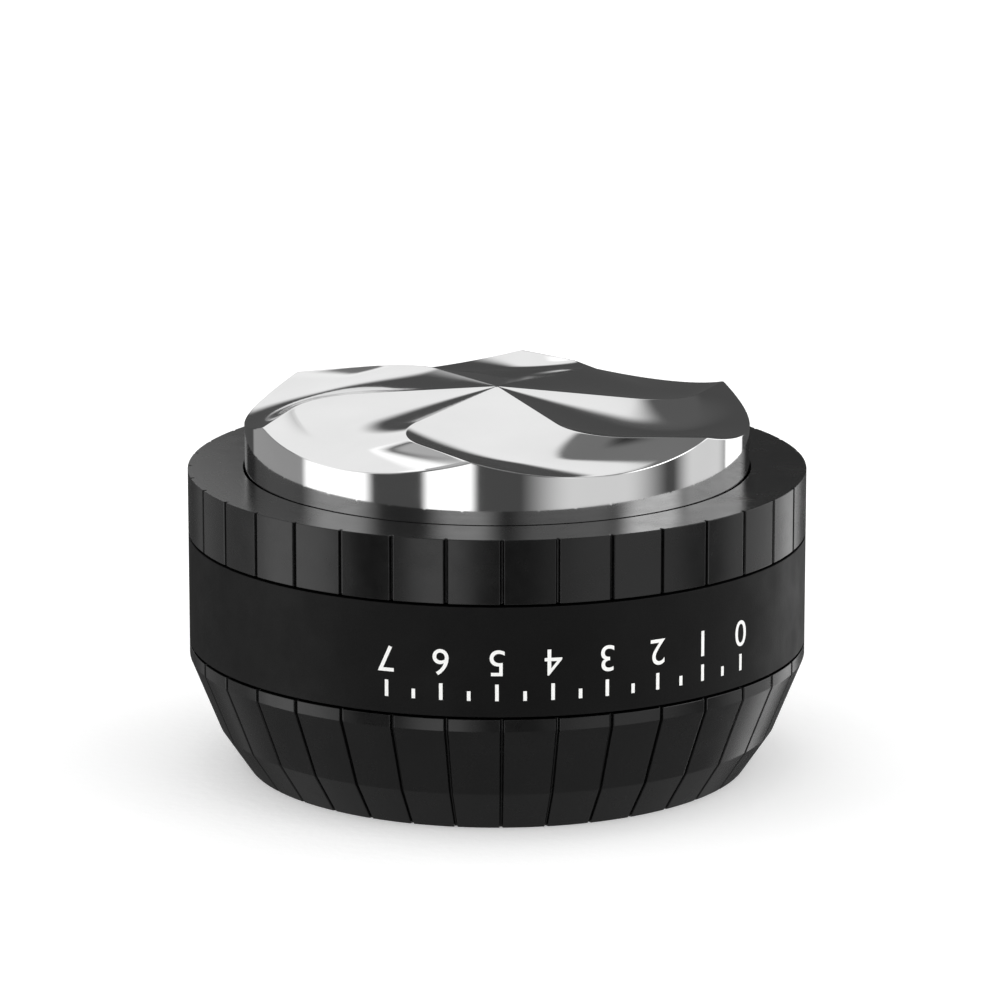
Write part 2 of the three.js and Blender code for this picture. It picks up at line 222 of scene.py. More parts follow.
class StageSettings(bpy.types.PropertyGroup):
    """The floor, the studio and the camera."""

    floor: FloatVectorProperty(
        name="Floor", description="Colour of the floor", subtype="COLOR", size=4, default=linear("#F4F4F4")
    )
    glow: FloatProperty(name="Glow", description="Light the floor gives of its own", default=0.27, min=0, max=1)
    lens: FloatProperty(name="Lens", description="Focal length in mm", default=213.0, min=20, max=400)
    distance: FloatProperty(
        name="Distance", description="How far the camera stands in front", default=0.66718, unit="LENGTH"
    )
    aside: FloatProperty(
        name="Aside", description="How far the camera stands to the right", default=0.00034, unit="LENGTH"
    )
    height: FloatProperty(
        name="Height", description="How high the camera stands", default=0.19562, unit="LENGTH"
    )
    pitch: FloatProperty(
        name="Pitch", description="How far the camera looks down", default=math.radians(13.875), subtype="ANGLE"
    )


# ---- Mesh tools ----


def polyline(bm, points):
    """Vertices and edges along [radius, z] points on the half-plane y = 0."""
    verts = [bm.verts.new((radius, 0, z)) for radius, z in points]
    edges = [bm.edges.new(pair) for pair in zip(verts, verts[1:])]
    return verts + edges


def spin(bm, geom, angle, steps, climb=0.0, merge=False):
    """Spins geometry about the Z axis and returns its last copy."""
    made = bmesh.ops.spin(
        bm,
        geom=geom,
        cent=(0, 0, 0),
        axis=Z_AXIS,
        dvec=(0, 0, climb / steps),
        angle=angle,
        steps=steps,
        use_merge=merge,
        use_duplicate=False,
    )
    return made["geom_last"]


def revolved(points, steps):
    """A full turn of a profile."""
    bm = bmesh.new()
    spin(bm, polyline(bm, points), FULL_TURN, steps, merge=True)
    weld(bm)
    settle(bm)
    return bm


def settle(bm):
    """Sorts a bmesh by place, because a merged spin leaves its order to chance."""

    def place(co):
        x, y, z = (round(value / NEAR) for value in co)
        return (x * SORT_SPAN + y) * SORT_SPAN + z

    bm.verts.sort(key=lambda vert: place(vert.co))
    bm.edges.sort(key=lambda edge: place((edge.verts[0].co + edge.verts[1].co) / 2))
    bm.faces.sort(key=lambda face: place(face.calc_center_median()))


def weld(bm):
    """Merges doubled vertices and turns the faces out."""
    bmesh.ops.remove_doubles(bm, verts=bm.verts, dist=MERGE)
    bmesh.ops.recalc_face_normals(bm, faces=bm.faces)


def edges_of(geom):
    return [item for item in geom if isinstance(item, bmesh.types.BMEdge)]


def verts_of(geom):
    return [item for item in geom if isinstance(item, bmesh.types.BMVert)]


def extend(bm, edges, radius=None, z=None):
    """Extrudes a loop to another radius or height, and returns the new loop's edges."""
    made = bmesh.ops.extrude_edge_only(bm, edges=edges)["geom"]
    for vert in verts_of(made):
        if radius is not None:
            flat = Vector((vert.co.x, vert.co.y, 0)).normalized() * radius
            vert.co.x, vert.co.y = flat.x, flat.y
        if z is not None:
            vert.co.z = z
    return edges_of(made)


def open_loops(bm):
    """The boundary edges, grouped into loops."""
    left = {edge for edge in bm.edges if edge.is_boundary}
    loops = []
    while left:
        loop, front = [], [left.pop()]
        while front:
            edge = front.pop()
            loop.append(edge)
            near = {other for vert in edge.verts for other in vert.link_edges if other in left}
            left -= near
            front.extend(near)
        loops.append(loop)
    return loops


def loop_height(loop):
    return sum(vert.co.z for edge in loop for vert in edge.verts) / (2 * len(loop))


def break_edges(bm, width, segments=2, sharp=SHARP):
    """Bevels every edge that is sharper than an angle."""
    edges = [edge for edge in bm.edges if len(edge.link_faces) == 2 and edge.calc_face_angle(0) > sharp]
    bmesh.ops.bevel(
        bm,
        geom=edges,
        offset=width,
        offset_type="OFFSET",
        segments=segments,
        profile=0.5,
        affect="EDGES",
        material=-1,
        clamp_overlap=True,
    )


def grooved_skin(bm, points, body):
    """A skin spun from a profile, with the grip grooves cut along it."""
    pitch = FULL_TURN / body.groove_count
    outer = max(radius for radius, _ in points)
    width = body.groove_width / outer
    floor = body.groove_floor / outer
    slant = (width - floor) / 2
    heading = body.groove_turn + width / 2
    geom = polyline(bm, points)
    bmesh.ops.rotate(bm, verts=verts_of(geom), cent=(0, 0, 0), matrix=Matrix.Rotation(heading, 3, "Z"))
    for _ in range(body.groove_count):
        geom = spin(bm, geom, pitch - width, LAND_STEPS)
        heading += pitch - width
        geom = step(bm, geom, heading, -body.groove_depth, slant)
        geom = spin(bm, geom, floor, 1)
        geom = step(bm, geom, heading + slant + floor, body.groove_depth, slant)
        heading += width
    weld(bm)


def step(bm, geom, heading, distance, turn):
    """Extrudes a profile along its own half-plane, away from the axis or towards it, and turns it on a little."""
    made = bmesh.ops.extrude_edge_only(bm, edges=edges_of(geom))["geom"]
    move = Vector((math.cos(heading), math.sin(heading), 0)) * distance
    bmesh.ops.translate(bm, verts=verts_of(made), vec=move)
    bmesh.ops.rotate(bm, verts=verts_of(made), cent=(0, 0, 0), matrix=Matrix.Rotation(turn, 3, "Z"))
    return [item for item in made if not isinstance(item, bmesh.types.BMFace)]


def finish_piece(bm, name, material, body, nodes, crease=CREASE):
    """Makes a piece from a bmesh, parents it to its body's empty and hides the CAD nodes it replaces."""
    mesh = bpy.data.meshes.new(name)
    bm.to_mesh(mesh)
    bm.free()
    for polygon in mesh.polygons:
        polygon.use_smooth = True
    mesh.set_sharp_from_angle(angle=crease)
    mesh.materials.append(material)
    piece = bpy.data.objects.new(name, mesh)
    bpy.context.scene.collection.objects.link(piece)
    even = piece.modifiers.new("even_shading", "WEIGHTED_NORMAL")
    even.keep_sharp = True
    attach(piece, body)
    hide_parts(*nodes)
    return piece


# ---- Materials ----


def add_node(owner, kind, inputs=None, **settings):
    """Adds a node to a material or world: settings are its attributes, inputs are values or sockets that feed it."""
    node = owner.node_tree.nodes.new(kind)
    for key, value in settings.items():
        setattr(node, key, value)
    for key, value in (inputs or {}).items():
        feed(owner, value, node.inputs[key])
    return node


def feed(owner, value, socket):
    """Sets an input, or links it if the value comes from a node."""
    if isinstance(value, bpy.types.NodeSocket):
        owner.node_tree.links.new(value, socket)
    else:
        socket.default_value = value


def clear_nodes(owner):
    """Leaves a material or world with no nodes."""
    owner.use_nodes = True
    owner.node_tree.nodes.clear()
    return owner


def new_material(name):
    """A node material and its Principled shader."""
    material = clear_nodes(bpy.data.materials.new(name))
    shader = add_node(material, "ShaderNodeBsdfPrincipled")
    add_node(material, "ShaderNodeOutputMaterial", {"Surface": shader.outputs["BSDF"]})
    return material, shader


def dress(material, shader, colour, roughness, relief):
    """Feeds a shader its colour and roughness, and lays reliefs of a real depth over each other, lowest first."""
    feed(material, colour, shader.inputs["Base Color"])
    feed(material, roughness, shader.inputs["Roughness"])
    normal = {}
    for height, depth in relief:
        bump = add_node(material, "ShaderNodeBump", {"Height": height, "Distance": depth, **normal})
        normal = {"Normal": bump.outputs["Normal"]}
    feed(material, normal["Normal"], shader.inputs["Normal"])
    return material


def patches(material, size, low, high, detail=3.0):
    """A value that wanders between two limits in soft patches of about a size."""
    where = add_node(material, "ShaderNodeTexCoord").outputs["Object"]
    cloud = add_node(material, "ShaderNodeTexNoise", {"Vector": where, "Scale": 1 / size, "Detail": detail})
    inputs = {"Value": cloud.outputs["Fac"], "From Min": 0.3, "From Max": 0.7, "To Min": low, "To Max": high}
    return add_node(material, "ShaderNodeMapRange", inputs).outputs["Result"]


def shaded(material, colour, spread, size):
    """A colour that is a little lighter and darker in patches."""
    value = patches(material, size, 1 - spread, 1 + spread)
    return add_node(material, "ShaderNodeHueSaturation", {"Color": colour, "Value": value}).outputs["Color"]


def turning_rings(material, spacing):
    """The height of the fine rings that a lathe leaves about the Z axis, on a wall and on a face."""
    where = add_node(material, "ShaderNodeTexCoord").outputs["Object"]
    flat = add_node(material, "ShaderNodeVectorMath", {0: where, 1: (1, 1, 0)}, operation="MULTIPLY")
    radius = add_node(material, "ShaderNodeVectorMath", {0: flat.outputs["Vector"]}, operation="LENGTH")
    height = add_node(material, "ShaderNodeSeparateXYZ", {"Vector": where}).outputs["Z"]
    inputs = {0: radius.outputs["Value"], 1: height}
    along = add_node(material, MATH, inputs, operation="ADD").outputs["Value"]
    inputs = {"W": along, "Scale": 1 / spacing, "Detail": 1.0}
    return add_node(material, "ShaderNodeTexNoise", inputs, noise_dimensions="1D").outputs["Fac"]


def buffing_lines(material, width, length, turn):
    """The height of the straight hairlines that a buffing wheel leaves."""
    where = add_node(material, "ShaderNodeTexCoord").outputs["Object"]
    inputs = {"Vector": where, "Rotation": (0, 0, turn), "Scale": (1 / width, 1 / length, 1 / width)}
    placed = add_node(material, "ShaderNodeMapping", inputs).outputs["Vector"]
    inputs = {"Vector": placed, "Scale": 1.0, "Detail": 2.0}
    return add_node(material, "ShaderNodeTexNoise", inputs).outputs["Fac"]


EDGE_REACH = 0.1 * MM  # how far from an edge the rubbed wear and the painted highlight reach
EDGE_START, EDGE_FULL = 0.97, 0.85  # cosines between the face and its rounded edge, where the rubbed wear and painted highlight start and are full
EDGE_WEAR_AND_HIGHLIGHT = 0.8  # how far an edge is lightened at most, as rubbed wear and painted highlight


def worn_edges(material, colour, bare_and_highlit_colour):
    """A colour that gives way to a lighter one at an outer edge: partly rubbed wear, partly a painted highlight."""
    flat = add_node(material, "ShaderNodeNewGeometry").outputs["True Normal"]
    rounded = add_node(material, "ShaderNodeBevel", {"Radius": EDGE_REACH}).outputs["Normal"]
    lean = add_node(material, "ShaderNodeVectorMath", {0: flat, 1: rounded}, operation="DOT_PRODUCT").outputs["Value"]
    inputs = {"Value": lean, "From Min": EDGE_START, "From Max": EDGE_FULL, "To Min": 0.0, "To Max": EDGE_WEAR_AND_HIGHLIGHT}
    edge = add_node(material, "ShaderNodeMapRange", inputs).outputs["Result"]
    # The lightened edge is partly rubbed wear and partly a painted highlight.
    inputs = {0: edge, 1: patches(material, 1.5 * MM, 0.1, 1.0)}
    rubbed_and_highlit = add_node(material, MATH, inputs, operation="MULTIPLY").outputs["Value"]
    mix = add_node(material, "ShaderNodeMix", data_type="RGBA")
    for index, value in enumerate((rubbed_and_highlit, colour, bare_and_highlit_colour)):
        feed(material, value, mix.inputs[(0, 6, 7)[index]])
    return mix.outputs[2]


def window(owner, value, opens, closes, level):
    """A level between two soft edges, each given by where it starts and ends."""
    sides = []
    for (start, end), (low, high) in ((opens, (0.0, level)), (closes, (1.0, 0.0))):
        inputs = {"Value": value, "From Min": start, "From Max": end, "To Min": low, "To Max": high}
        side = add_node(owner, "ShaderNodeMapRange", inputs, interpolation_type="SMOOTHSTEP")
        sides.append(side.outputs["Result"])
    return add_node(owner, MATH, dict(enumerate(sides)), operation="MULTIPLY").outputs["Value"]


def polished_steel(colour):
    """Stainless steel, milled and then buffed: mirror bright, with hairlines and a slight haze in patches."""
    material, shader = new_material("stainless_steel_buffed")
    shader.inputs["Metallic"].default_value = 1.0
    metal = shaded(material, colour, 0.02, 9 * MM)
    haze = patches(material, 5 * MM, 0.05, 0.085)
    rings = turning_rings(material, 0.25 * MM)
    # Hairlines are about 0.02 mm wide. They are drawn at 0.1 mm, so that they show.
    hairlines = buffing_lines(material, 0.1 * MM, 7 * MM, math.radians(35))
    return dress(material, shader, metal, haze, [(rings, 0.0004 * MM), (hairlines, 0.00022 * MM)])


def anodised_turned(colour):
    """Aluminium alloy, turned fine and anodised black: a satin sheen drawn out along the rings, edges lightened as
    rubbed wear and a painted highlight.
    """
    material, shader = new_material("aluminium_turned_black_anodised")
    shader.inputs["Specular IOR Level"].default_value = 0.44
    # Edges are lightened towards a grey: partly rubbed wear, partly a painted highlight.
    dyed_with_worn_highlit_edges = worn_edges(material, shaded(material, colour, 0.25, 6 * MM), linear("#3A3A3C"))
    satin = patches(material, 3 * MM, 0.22, 0.29)
    # The feed marks are about 0.1 mm apart. They are drawn at 0.3 mm, so that they show.
    rings = turning_rings(material, 0.3 * MM)
    pores = patches(material, 0.2 * MM, 0.0, 1.0)
    return dress(material, shader, dyed_with_worn_highlit_edges, satin, [(rings, 0.0035 * MM), (pores, 0.0006 * MM)])


def anodised_blasted(colour):
    """Aluminium alloy, bead-blasted and anodised black: dead matt with a fine even grit."""
    material, shader = new_material("aluminium_blasted_black_anodised")
    shader.inputs["Specular IOR Level"].default_value = 0.2
    # Edges are lightened towards a grey: partly rubbed wear, partly a painted highlight.
    dyed_with_worn_highlit_edges = worn_edges(material, shaded(material, colour, 0.3, 7 * MM), linear("#2C2C2E"))
    matt = patches(material, 4 * MM, 0.5, 0.6)
    # The beads leave dimples of about 0.1 mm. They are drawn at 0.16 mm, so that they show.
    grit = patches(material, 0.16 * MM, 0.0, 1.0, 1.0)
    return dress(material, shader, dyed_with_worn_highlit_edges, matt, [(grit, 0.006 * MM)])


def printed_ink(colour):
    """White pad-printing ink: an even matt white film, a little thin in specks."""
    material, shader = new_material("printing_ink_white_cured")
    white = shaded(material, colour, 0.04, 0.35 * MM)
    matt = patches(material, 1 * MM, 0.42, 0.58)
    film = patches(material, 0.25 * MM, 0.0, 1.0)
    return dress(material, shader, white, matt, [(film, 0.004 * MM)])


def machined_alloy(colour):
    """Aluminium alloy as it comes off the lathe: bright, with clear feed rings."""
    material, shader = new_material("aluminium_as_turned")
    shader.inputs["Metallic"].default_value = 1.0
    metal = shaded(material, colour, 0.04, 4 * MM)
    haze = patches(material, 2 * MM, 0.26, 0.4)
    rings = turning_rings(material, 0.2 * MM)
    return dress(material, shader, metal, haze, [(rings, 0.006 * MM)])


def fastener_steel(colour):
    """Plain stainless steel, cold-headed and tumbled: a grey gloss with short random scuffs."""
    material, shader = new_material("stainless_steel_tumbled")
    shader.inputs["Metallic"].default_value = 1.0
    metal = shaded(material, colour, 0.06, 1.5 * MM)
    haze = patches(material, 0.8 * MM, 0.22, 0.38)
    scuffs = buffing_lines(material, 0.08 * MM, 1.2 * MM, math.radians(20))
    return dress(material, shader, metal, haze, [(scuffs, 0.004 * MM)])


def cut_nylon(colour):
    """Natural nylon, cut from sheet: milky and waxy, with a faint cut grain."""
    material, shader = new_material("nylon_cut_natural")
    shader.inputs["Subsurface Weight"].default_value = 0.15
    shader.inputs["Subsurface Radius"].default_value = (0.8 * MM, 0.7 * MM, 0.6 * MM)
    shader.inputs["Subsurface Scale"].default_value = 1.0
    milky = shaded(material, colour, 0.03, 3 * MM)
    waxy = patches(material, 1.5 * MM, 0.4, 0.52)
    grain = buffing_lines(material, 0.15 * MM, 3 * MM, 0.0)
    return dress(material, shader, milky, waxy, [(grain, 0.006 * MM)])


def moulded_rubber(colour):
    """Nitrile rubber, moulded: dull black with a dusty bloom in patches."""
    material, shader = new_material("nitrile_rubber_moulded")
    black = shaded(material, colour, 0.3, 2 * MM)
    bloom = patches(material, 1.2 * MM, 0.6, 0.8)
    grain = patches(material, 0.2 * MM, 0.0, 1.0)
    return dress(material, shader, black, bloom, [(grain, 0.01 * MM)])


def floor_paint(colour, glow):
    """Studio floor, rolled in matt white paint: plain and pale, with a roller's stipple too faint to draw the eye."""
    material, shader = new_material("floor_paint_white_rolled")
    shader.inputs["Specular IOR Level"].default_value = 0.0
    shader.inputs["Emission Color"].default_value = (1, 1, 1, 1)
    shader.inputs["Emission Strength"].default_value = glow
    white = shaded(material, colour, 0.004, 60 * MM)
    matt = patches(material, 20 * MM, 0.85, 0.95)
    stipple = patches(material, 1.5 * MM, 0.0, 1.0)
    return dress(material, shader, white, matt, [(stipple, 0.02 * MM)])


# ---- Bladed base ----


def ridge_trail(radius, rim, blades):
    """How far a ridge trails its tip at a radius: a straight run from the rim, a bend and a straight spoke."""
    turn = blades.spoke_trail + blades.tip_trail
    tangent = blades.bend * math.tan(turn / 2)
    spoke_end = rim * math.sin(blades.tip_trail) / math.sin(turn) - tangent
    run = rim * math.sin(blades.spoke_trail) / math.sin(turn) - tangent
    bend_end = math.sqrt(rim**2 + run**2 - 2 * rim * run * math.cos(blades.tip_trail))
    if radius <= spoke_end:
        return blades.spoke_trail
    if radius >= bend_end:
        return math.asin(min(1.0, rim * math.sin(blades.tip_trail) / radius)) - blades.tip_trail
    centre = math.hypot(spoke_end, blades.bend)
    reach = (radius**2 + centre**2 - blades.bend**2) / (2 * radius * centre)
    return blades.spoke_trail - math.atan2(blades.bend, spoke_end) + math.acos(reach)


class DISTRIBUTOR_OT_bladed_base(bpy.types.Operator):
    """Builds the polished base with its swirling blades."""

    bl_idname = "distributor.bladed_base"
    bl_label = "Bladed Base"

    RINGS = 60
    STEPS_PER_BLADE = 48
    CROWDING = 0.97  # how far the steps draw together at a ridge, where 1 would make them meet
    BREAK_STEPS = ((0.71, 0.29), (1.0, 1.0))  # along the rim break: out and down, as shares of its width
    WALL_DROP = 0.8 * MM  # from the blades' lowest point down to the first ring of the wall
    TINY = 1e-7

    def execute(self, context):
        blades = context.scene.distributor_blades
        low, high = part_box("fin_base")
        rim = node_radius("fin_base")
        tip = high.z - blades.rise
        inner = rim - blades.rim_break
        crown = [(inner * i / self.RINGS, high.z) for i in range(self.RINGS + 1)]
        edge = [(inner + blades.rim_break * out, high.z) for out, _ in self.BREAK_STEPS]
        groove = low.z + SEAL_LAND
        body = [
            (rim, tip - blades.hollow - self.WALL_DROP),
            (rim, groove + SEAL_GROOVE),
            (rim - SEAL_DEPTH, groove + SEAL_GROOVE),
            (rim - SEAL_DEPTH, groove),
            (rim, groove),
            (rim, low.z),
            (SPIGOT_RADIUS, low.z),
            (SPIGOT_RADIUS, low.z + SPIGOT_DEPTH),
            (0, low.z + SPIGOT_DEPTH),
        ]
        bm = revolved(crown + edge + body, blades.count * self.STEPS_PER_BLADE)
        for vert in bm.verts:
            self.shape(vert, rim, tip, blades, vert.co.z > high.z - NEAR)
        bmesh.ops.recalc_face_normals(bm, faces=bm.faces)
        steel = polished_steel(context.scene.distributor_finish.steel)
        finish_piece(bm, "bladed_base", steel, "base", ["fin_base"], 2 * CREASE)
        return {"FINISHED"}

    def shape(self, vert, rim, tip, blades, on_crown):
        """Crowds one vertex towards its ridge, and lays a crown vertex on the blades and the broken rim."""
        radius = vert.co.xy.length
        around = math.atan2(vert.co.y, vert.co.x) % FULL_TURN
        blade = FULL_TURN / blades.count
        index, across = divmod(around / blade + self.TINY, 1.0)
        across -= self.CROWDING * math.sin(FULL_TURN * across) / FULL_TURN
        trail = ridge_trail(radius, rim, blades) if on_crown else 0.0
        angle = blades.turn - trail + blade * (index + across)
        vert.co.x = radius * math.cos(angle)
        vert.co.y = radius * math.sin(angle)
        if not on_crown:
            return
        inner = rim - blades.rim_break
        share = min(radius, inner) / rim
        soft = blades.ridge / 2 / (blade * rim)
        near = min(across, 1 - across)
        near = max(0.0, math.hypot(near, soft) - soft)
        vert.co.z = tip + blades.rise * (1 - share) - blades.hollow * share * 4 * near * (1 - near)
        for out, down in self.BREAK_STEPS:
            if abs(radius - inner - blades.rim_break * out) < NEAR:
                vert.co.z -= blades.rim_break * down


# ---- Cap, band and collar ----


class DISTRIBUTOR_OT_palm_cap(bpy.types.Operator):
    """Builds the grooved palm cap with its two chamfers."""

    bl_idname = "distributor.palm_cap"
    bl_label = "Palm Cap"

    def execute(self, context):
        body = context.scene.distributor_body
        low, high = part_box("palm_cap")
        outer = node_radius("palm_cap")
        shoulder = outer - body.upper_width
        profile = [
            (shoulder - body.lower_width, low.z),
            (shoulder, low.z + body.lower_height),
            (outer, low.z + body.lower_height + body.upper_height),
            (outer, high.z),
        ]
        bm = bmesh.new()
        grooved_skin(bm, profile, body)
        lower, upper = sorted(open_loops(bm), key=loop_height)
        face = extend(bm, lower, radius=profile[0][0] - body.groove_depth - FACE_RING)
        bmesh.ops.contextual_create(bm, geom=face)
        recess = node_radius("lock_washer") + SEAM
        bore = node_radius("threaded_hub") + SEAM
        mouth = extend(bm, upper, radius=outer - body.groove_depth - PLAIN_RING)
        mouth = extend(bm, mouth, radius=recess)
        mouth = extend(bm, mouth, z=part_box("lock_washer")[0].z - SEAM)
        mouth = extend(bm, mouth, radius=bore + CAP_WALL)
        mouth = extend(bm, mouth, z=high.z)
        mouth = extend(bm, mouth, radius=bore)
        mouth = extend(bm, mouth, z=CAP_FLOOR)
        bmesh.ops.contextual_create(bm, geom=mouth)
        weld(bm)
        break_edges(bm, body.edge_break)
        metal = anodised_turned(context.scene.distributor_finish.anodised)
        finish_piece(bm, "palm_cap_shell", metal, "cap", ["palm_cap"])
        return {"FINISHED"}


class DISTRIBUTOR_OT_grip_band(bpy.types.Operator):
    """Builds the smooth band between the cap and the collar."""

    bl_idname = "distributor.grip_band"
    bl_label = "Grip Band"

    def execute(self, context):
        low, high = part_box("grip_band")
        outer = node_radius("grip_band")
        inner = node_radius("fin_base") + SEAM + COLLAR_WALL + SEAM
        throat = node_radius("threaded_hub") + 2 * SEAM
        flange = low.z + BAND_FLANGE
        profile = [
            (throat, low.z),
            (outer, low.z),
            (outer, high.z),
            (inner, high.z),
            (inner, flange),
            (throat, flange),
            (throat, low.z),
        ]
        bm = revolved(profile, BAND_STEPS)
        break_edges(bm, context.scene.distributor_body.edge_break)
        metal = anodised_blasted(context.scene.distributor_finish.blasted)
        finish_piece(bm, "grip_band_sleeve", metal, "sleeve", ["grip_band"])
        return {"FINISHED"}


class DISTRIBUTOR_OT_depth_collar(bpy.types.Operator):
    """Builds the grooved collar that lands on the basket's rim."""

    bl_idname = "distributor.depth_collar"
    bl_label = "Depth Collar"

    def execute(self, context):
        body = context.scene.distributor_body
        low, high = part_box("depth_collar")
        outer = node_radius("depth_collar")
        bore = node_radius("fin_base") + GAP
        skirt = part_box("grip_band")[1].z + SEAM
        sleeve = node_radius("fin_base") + SEAM + COLLAR_WALL
        thread = node_radius("threaded_hub") + SEAM
        bm = bmesh.new()
        grooved_skin(bm, [(outer, skirt), (outer, high.z)], body)
        lower, upper = sorted(open_loops(bm), key=loop_height)
        top = extend(bm, upper, radius=outer - body.groove_depth - PLAIN_RING)
        top = extend(bm, top, radius=bore)
        top = extend(bm, top, z=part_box("fin_base")[0].z - TRAVEL - END_PLAY)
        top = extend(bm, top, radius=thread)
        extend(bm, top, z=low.z)
        under = extend(bm, lower, radius=outer - body.groove_depth - PLAIN_RING)
        under = extend(bm, under, radius=sleeve)
        under = extend(bm, under, z=low.z)
        extend(bm, under, radius=thread)
        weld(bm)
        break_edges(bm, body.edge_break)
        metal = anodised_turned(context.scene.distributor_finish.anodised)
        finish_piece(bm, "depth_collar_ring", metal, "sleeve", ["depth_collar"])
        return {"FINISHED"}


class DISTRIBUTOR_OT_depth_scale(bpy.types.Operator):
    """Prints the scale on the band: a mark and a digit for each groove of the cap, and a short mark between."""

    bl_idname = "distributor.depth_scale"
    bl_label = "Depth Scale"

    FILM = 0.04 * MM
    MARKS = (1.9 * MM, 1.1 * MM)  # height of a numbered mark and of the one between
    ROOM = 0.9 * MM  # between a mark and its digit
    STRIP = 0.5 * MM
    DIGIT_SHARE = 0.7  # a digit's height as a share of its font size

    def execute(self, context):
        scale = context.scene.distributor_scale
        radius = node_radius("grip_band")
        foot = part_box("grip_band")[0].z + scale.lift
        bm = bmesh.new()
        for index in range(2 * scale.count - 1):
            along = radius * (scale.first - scale.pitch * index / 2)
            digit, between = divmod(index, 2)
            self.add_mark(bm, along, foot, scale.line, self.MARKS[between])
            if not between:
                self.add_digit(bm, str(digit), along, foot + self.MARKS[0] + self.ROOM, scale.height)
        weld(bm)
        self.bend(bm, radius)
        ink = printed_ink(context.scene.distributor_finish.ink)
        finish_piece(bm, "depth_scale", ink, "sleeve", [])
        return {"FINISHED"}

    def add_mark(self, bm, along, foot, width, height):
        """An upright bar, laid flat: X runs round the band, Y out of it."""
        made = bmesh.ops.create_cube(bm, size=1.0)["verts"]
        bmesh.ops.scale(bm, verts=made, vec=(width, self.FILM, height))
        bmesh.ops.translate(bm, verts=made, vec=(along, 0, foot + height / 2))

    def add_digit(self, bm, text, along, foot, height):
        """A digit that reads upright when the blades point down."""
        curve = bpy.data.curves.new("digit", "FONT")
        curve.body = text
        curve.size = height / self.DIGIT_SHARE
        curve.align_x = "CENTER"
        curve.extrude = self.FILM / 2
        curve.resolution_u = 6
        letter = bpy.data.objects.new("digit", curve)
        mesh = bpy.data.meshes.new_from_object(letter)
        standing = Matrix.Rotation(math.pi / 2, 4, "X")
        turned = Matrix.Rotation(math.pi, 4, "Y")
        mesh.transform(Matrix.Translation((along, 0, foot + height)) @ turned @ standing)
        bm.from_mesh(mesh)
        bpy.data.objects.remove(letter)
        bpy.data.curves.remove(curve)
        bpy.data.meshes.remove(mesh)

    def bend(self, bm, radius):
        """Cuts the flat print into narrow strips and wraps it round the band."""
        left = min(vert.co.x for vert in bm.verts)
        right = max(vert.co.x for vert in bm.verts)
        cuts = int((right - left) / self.STRIP)
        for i in range(1, cuts):
            place = (left + (right - left) * i / cuts, 0, 0)
            geom = [*bm.verts, *bm.edges, *bm.faces]
            bmesh.ops.bisect_plane(bm, geom=geom, plane_co=place, plane_no=(1, 0, 0), dist=0.0001 * MM)
        for vert in bm.verts:
            angle = vert.co.x / radius
            out = radius + self.FILM / 2 - vert.co.y
            vert.co.x = out * math.sin(angle)
            vert.co.y = -out * math.cos(angle)
        bmesh.ops.recalc_face_normals(bm, faces=bm.faces)


# ---- Hub, fasteners and rings ----


def refinish(nodes, material):
    """Gives CAD nodes a material."""
    for name in nodes:
        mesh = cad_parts[name].data
        mesh.materials.clear()
        mesh.materials.append(material)


class DISTRIBUTOR_OT_hardware(bpy.types.Operator):
    """Finishes the threaded hub and the fasteners."""

    bl_idname = "distributor.hardware"
    bl_label = "Hub and Fasteners"

    FASTENERS = ("hub_screw", "spring_washer", "dowel_pin", "band_screw")

    def execute(self, context):
        finish = context.scene.distributor_finish
        refinish(["threaded_hub"], machined_alloy(finish.alloy))
        fasteners = [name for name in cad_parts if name.startswith(self.FASTENERS)]
        refinish(fasteners, fastener_steel(finish.fastener))
        return {"FINISHED"}


class DISTRIBUTOR_OT_rings(bpy.types.Operator):
    """Finishes the cap's washer and the base's seal."""

    bl_idname = "distributor.rings"
    bl_label = "Washer and Seal"

    def execute(self, context):
        finish = context.scene.distributor_finish
        refinish(["lock_washer"], cut_nylon(finish.nylon))
        refinish(["seal_ring"], moulded_rubber(finish.rubber))
        return {"FINISHED"}


# ---- Stage ----


